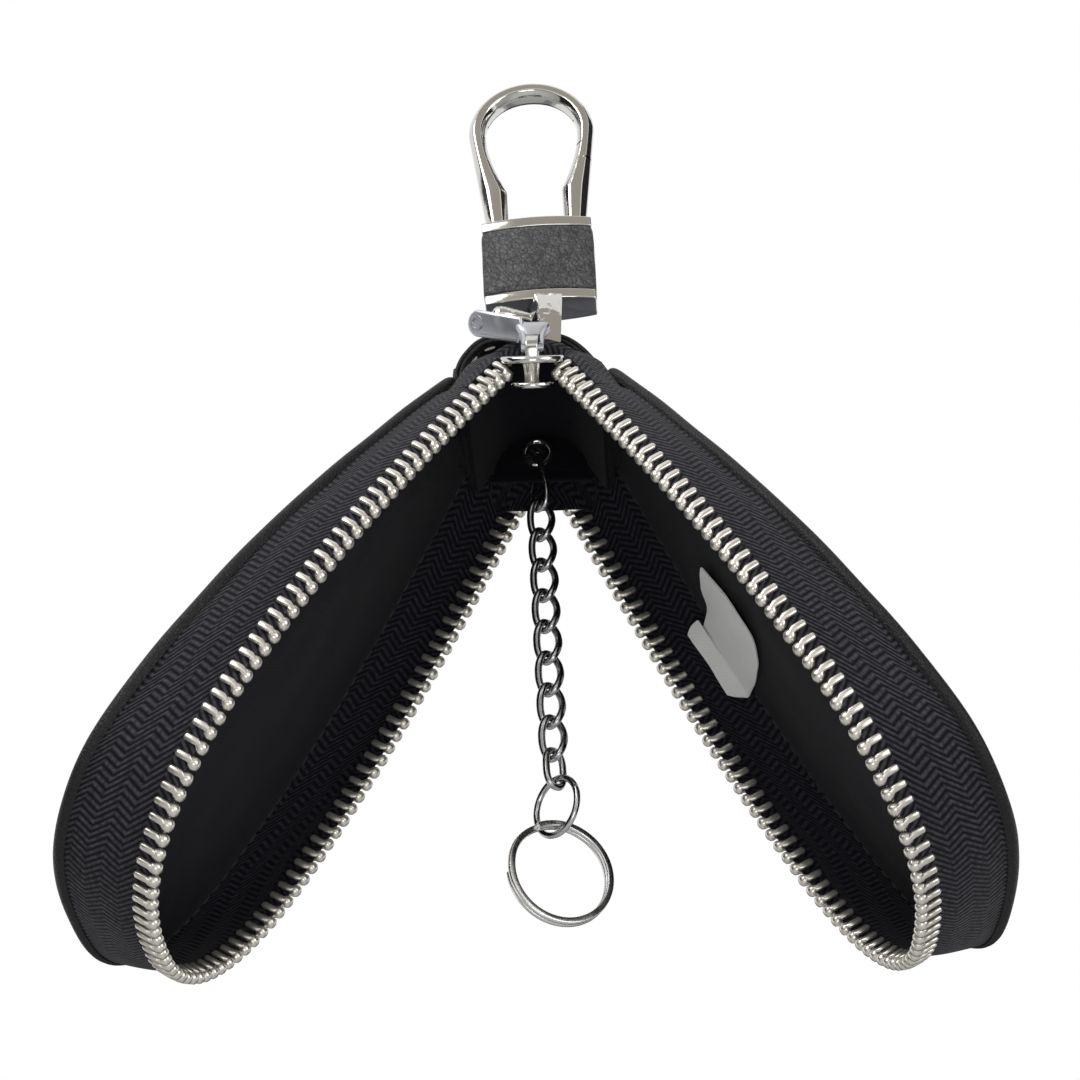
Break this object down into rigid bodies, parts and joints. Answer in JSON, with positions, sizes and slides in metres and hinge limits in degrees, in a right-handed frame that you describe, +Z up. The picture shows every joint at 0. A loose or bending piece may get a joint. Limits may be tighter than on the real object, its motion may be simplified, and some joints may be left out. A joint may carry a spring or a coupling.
{
  "type": "key case",
  "caption": "zip-around leather key case hanging open from a swivel hook, with an inner chain and key ring",
  "frame": {"origin": "inside top of the shackle, where the rail or strap carries the hook", "axes": "+Z up along the hook, +X across the open case, +Y to its far side"},
  "size_m": [0.1476, 0.0756, 0.177],
  "materials": {
    "polished_metal": "polished chrome-plated zinc casting",
    "hidden_metal": "plain steel",
    "leather": "smooth black leather",
    "lining": "black lining cloth",
    "tape": "black herringbone zip tape",
    "board": "pressed fibre board",
    "teeth": "nickel-plated zip teeth",
    "slider_metal": "nickel-plated zip slider",
    "puller_metal": "pale grey zip puller",
    "chain_metal": "dark chrome chain",
    "ring_metal": "bright nickel split ring",
    "label": "blank white woven label"
  },
  "bodies": {
    "hook": {"shackle": "polished_metal", "gate_pin": "hidden_metal", "gate_spring": "hidden_metal", "block_core": "hidden_metal", "top_plate": "polished_metal", "bottom_plate": "polished_metal", "leather_sleeve": "leather"},
    "gate": {"gate": "polished_metal"},
    "swivel": {"swivel_post": "polished_metal", "swivel_ring": "polished_metal"},
    "case": {"loop_strap": "leather", "spine_leather": "leather", "spine_lining": "lining", "near_gusset": "tape", "far_gusset": "tape", "inner_tab": "lining", "eyelet": "polished_metal", "eyelet_washer": "polished_metal", "slider_body": "slider_metal", "slider_crown": "slider_metal", "zip_start": "teeth"},
    "puller": {"puller": "puller_metal"},
    "left_half": {"left_leather": "leather", "left_board": "board", "left_lining": "lining", "left_tape": "tape", "left_teeth": "teeth"},
    "right_half": {"right_leather": "leather", "right_board": "board", "right_lining": "lining", "right_tape": "tape", "right_teeth": "teeth", "label": "label"},
    "eyelet_link": {"eyelet_link": "chain_metal"},
    "chain_link_1": {"chain_link_1": "chain_metal"},
    "chain_link_2": {"chain_link_2": "chain_metal"},
    "chain_link_3": {"chain_link_3": "chain_metal"},
    "chain_link_4": {"chain_link_4": "chain_metal"},
    "chain_link_5": {"chain_link_5": "chain_metal"},
    "chain_link_6": {"chain_link_6": "chain_metal"},
    "chain_link_7": {"chain_link_7": "chain_metal"},
    "chain_link_8": {"chain_link_8": "chain_metal"},
    "end_link": {"end_link": "chain_metal"},
    "jump_ring": {"jump_ring": "chain_metal"},
    "key_ring": {"key_ring": "ring_metal"}
  },
  "joints": [
    {"name": "gate_hinge", "type": "hinge", "parent": "hook", "child": "gate", "pos_m": [0.007, 0, -0.0336], "axis": [0, -1, 0], "range_deg": [0, 20], "stiffness_Nm_per_rad": 0.04, "springref_deg": -20.05, "deforming": ["gate_spring"]},
    {"name": "swivel_turn", "type": "hinge", "parent": "hook", "child": "swivel", "pos_m": [0, 0, -0.047], "axis": [0, 0, 1], "continuous": true},
    {"name": "case_swing", "type": "hinge", "parent": "swivel", "child": "case", "pos_m": [0, 0, -0.06365], "axis": [-0.1564, 0.9877, 0], "range_deg": [-28, 28]},
    {"name": "puller_flip", "type": "hinge", "parent": "case", "child": "puller", "pos_m": [-0.00156, -0.02029, -0.07164], "axis": [0.999, 0, -0.0454], "range_deg": [0, 110]},
    {"name": "left_fold", "type": "hinge", "parent": "case", "child": "left_half", "pos_m": [-0.00385, 0, -0.07579], "axis": [0, 1, 0], "range_deg": [-31.5, 20], "deforming": ["spine_leather", "spine_lining", "loop_strap", "near_gusset", "far_gusset"]},
    {"name": "right_fold", "type": "hinge", "parent": "case", "child": "right_half", "pos_m": [0.00034, 0, -0.07598], "axis": [0, 1, 0], "range_deg": [-20, 31.5], "deforming": ["spine_leather", "spine_lining", "loop_strap", "near_gusset", "far_gusset"]},
    {"name": "eyelet_swing", "type": "hinge", "parent": "case", "child": "eyelet_link", "pos_m": [-0.0023, 0.012, -0.0717], "axis": [0, 1, 0], "range_deg": [-28, 28]},
    {"name": "link_1_swing", "type": "hinge", "parent": "eyelet_link", "child": "chain_link_1", "pos_m": [-0.0023, 0.012, -0.08224], "axis": [1, 0, 0], "range_deg": [-12, 12]},
    {"name": "link_2_swing", "type": "hinge", "parent": "chain_link_1", "child": "chain_link_2", "pos_m": [-0.0023, 0.012, -0.08839], "axis": [0, 1, 0], "range_deg": [-12, 12]},
    {"name": "link_3_swing", "type": "hinge", "parent": "chain_link_2", "child": "chain_link_3", "pos_m": [-0.0023, 0.012, -0.09454], "axis": [-1, 0, 0], "range_deg": [-12, 12]},
    {"name": "link_4_swing", "type": "hinge", "parent": "chain_link_3", "child": "chain_link_4", "pos_m": [-0.0023, 0.012, -0.10069], "axis": [0, -1, 0], "range_deg": [-12, 12]},
    {"name": "link_5_swing", "type": "hinge", "parent": "chain_link_4", "child": "chain_link_5", "pos_m": [-0.0023, 0.012, -0.10684], "axis": [1, 0, 0], "range_deg": [-12, 12]},
    {"name": "link_6_swing", "type": "hinge", "parent": "chain_link_5", "child": "chain_link_6", "pos_m": [-0.0023, 0.012, -0.11299], "axis": [0, 1, 0], "range_deg": [-12, 12]},
    {"name": "link_7_swing", "type": "hinge", "parent": "chain_link_6", "child": "chain_link_7", "pos_m": [-0.0023, 0.012, -0.11914], "axis": [-1, 0, 0], "range_deg": [-12, 12]},
    {"name": "link_8_swing", "type": "hinge", "parent": "chain_link_7", "child": "chain_link_8", "pos_m": [-0.0023, 0.012, -0.12529], "axis": [0, -1, 0], "range_deg": [-12, 12]},
    {"name": "end_link_swing", "type": "hinge", "parent": "chain_link_8", "child": "end_link", "pos_m": [-0.0023, 0.012, -0.13144], "axis": [1, 0, 0], "range_deg": [-12, 12]},
    {"name": "jump_ring_swing", "type": "hinge", "parent": "end_link", "child": "jump_ring", "pos_m": [-0.0023, 0.012, -0.13675], "axis": [0, 1, 0], "range_deg": [-12, 12]},
    {"name": "key_ring_swing", "type": "hinge", "parent": "jump_ring", "child": "key_ring", "pos_m": [-0.0023, 0.012, -0.14517], "axis": [-1, 0, 0], "range_deg": [-12, 12]}
  ]
}
